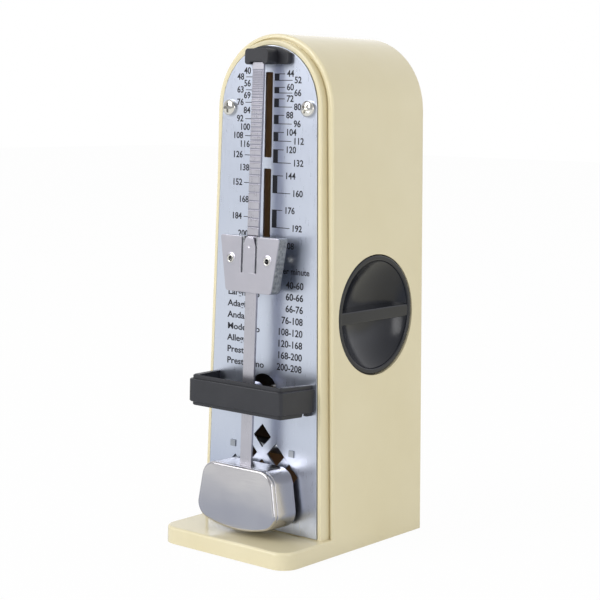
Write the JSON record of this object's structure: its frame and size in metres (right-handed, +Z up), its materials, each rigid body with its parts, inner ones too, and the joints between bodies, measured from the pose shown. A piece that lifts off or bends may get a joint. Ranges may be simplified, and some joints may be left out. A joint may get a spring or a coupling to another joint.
{
  "type": "metronome",
  "caption": "Pocket mechanical metronome: arched cream case on a stepped base, metal dial, swinging rod with bob and sliding weight, winding knob in the side.",
  "frame": {"origin": "middle of the base's outline, on the surface it stands on", "axes": "+Z up, the dial faces -Y, the winding knob is on the +X side"},
  "size_m": [0.052, 0.0698, 0.16],
  "materials": {
    "cream_plastic": "smooth moulded, soft gloss",
    "foot_rubber": "matt",
    "dial_metal": "satin, printed black scale",
    "screw_steel": "nickel plated",
    "black_plastic": "moulded, fine satin",
    "knob_plastic": "moulded, glossy",
    "plate_steel": "stamped",
    "spring_steel": "tempered strip",
    "arbor_steel": "turned",
    "wheel_brass": "stamped and turned",
    "rod_nickel": "nickel plated strip",
    "bob_nickel": "nickel plated, satin polished",
    "weight_casting": "rough casting",
    "weight_sheet": "nickel plated sheet"
  },
  "bodies": {
    "case": {"housing": "cream_plastic", "rubber_feet": "foot_rubber", "dial_plate": "dial_metal", "dial_screws": "screw_steel", "rod_clip": "black_plastic", "pendulum_bridge": "black_plastic", "bridge_screws": "screw_steel", "left_movement_plate": "plate_steel", "right_movement_plate": "plate_steel", "pillars": "plate_steel", "movement_screws": "screw_steel", "rear_bracket": "plate_steel", "escape_bracket": "plate_steel", "click_spring": "spring_steel"},
    "winder": {"winding_knob": "knob_plastic", "winding_arbor": "arbor_steel", "ratchet_wheel": "arbor_steel"},
    "barrel": {"barrel_drum": "wheel_brass", "barrel_cover": "wheel_brass", "mainspring": "spring_steel"},
    "second": {"second_pinion": "arbor_steel", "second_wheel": "wheel_brass"},
    "escape": {"escape_pinion": "arbor_steel", "escape_wheel": "wheel_brass"},
    "pendulum": {"pendulum_arbor": "arbor_steel", "pallets": "arbor_steel", "pendulum_rod": "rod_nickel", "pendulum_hub": "rod_nickel", "bob_body": "bob_nickel", "bob_cover": "bob_nickel"},
    "weight": {"weight_body": "weight_casting", "weight_spring": "weight_sheet", "weight_rivets": "weight_sheet"}
  },
  "joints": [
    {"name": "pendulum_swing", "type": "hinge", "parent": "case", "child": "pendulum", "pos_m": [0, -0.01586, 0.0495], "axis": [0, 0.9999, -0.0122], "range_deg": [-22, 22]},
    {"name": "weight_slide", "type": "slide", "parent": "pendulum", "child": "weight", "axis": [0, 0.0323, 0.9995], "range_m": [-0.00276, 0.05036]},
    {"name": "knob_turn", "type": "hinge", "parent": "case", "child": "winder", "pos_m": [0, 0.00944, 0.07359], "axis": [1, 0, 0], "continuous": true, "deforming": ["click_spring"]},
    {"name": "barrel_turn", "type": "hinge", "parent": "case", "child": "barrel", "pos_m": [0, 0.00944, 0.07359], "axis": [1, 0, 0], "continuous": true},
    {"name": "second_turn", "type": "hinge", "parent": "case", "child": "second", "pos_m": [0, 0.00577, 0.05648], "axis": [1, 0, 0], "continuous": true},
    {"name": "escape_turn", "type": "hinge", "parent": "case", "child": "escape", "pos_m": [0, -0.00286, 0.04934], "axis": [1, 0, 0], "continuous": true}
  ],
  "couplings": [
    {"joint": "second_turn", "follows": "barrel_turn", "ratio": -6},
    {"joint": "escape_turn", "follows": "barrel_turn", "ratio": 36}
  ]
}
